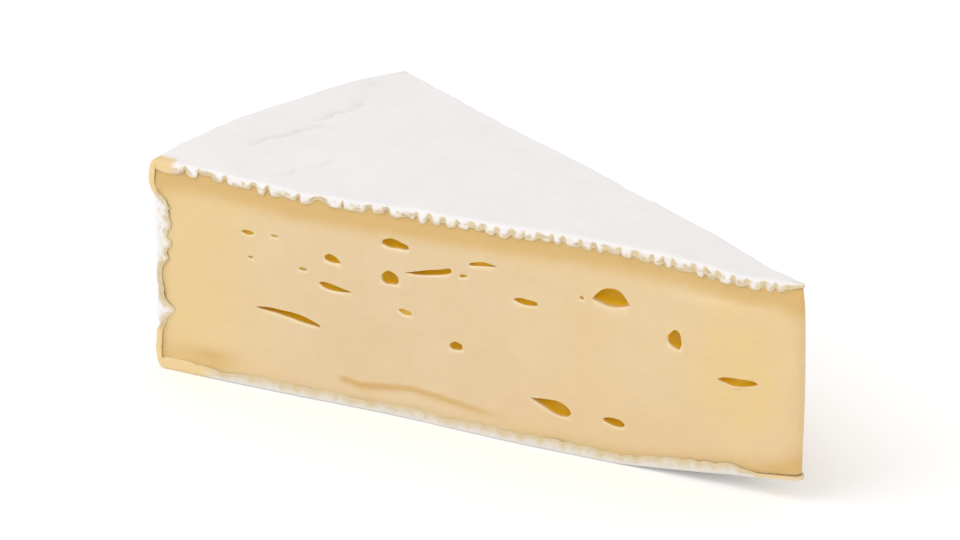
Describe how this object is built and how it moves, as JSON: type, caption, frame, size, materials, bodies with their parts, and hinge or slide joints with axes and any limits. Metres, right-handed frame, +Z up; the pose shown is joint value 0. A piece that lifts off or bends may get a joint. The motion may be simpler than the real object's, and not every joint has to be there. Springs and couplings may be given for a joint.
{
  "type": "soft cheese wedge",
  "caption": "Wedge cut from a round wheel of soft cheese: pale holed paste inside a white bloomy rind, lying flat on its base.",
  "frame": {"origin": "middle of the wedge's bounding box at the level of its flat base", "axes": "+X along the wedge from the heel, the old wall of the wheel, to the tip; +Z up, from the flat base to the top rind; the cut faces look towards -Y and +Y"},
  "size_m": [0.127, 0.0652, 0.0403],
  "materials": {
    "paste": "pale straw-yellow soft cheese, smooth and slightly moist, darker and more translucent close under the rind and in the gas holes",
    "rind": "dry, velvety white bloom, matt, greyer in its creases and tan where it is cut or folded"
  },
  "bodies": {
    "root": {"paste": "paste", "rind": "rind"}
  },
  "joints": []
}
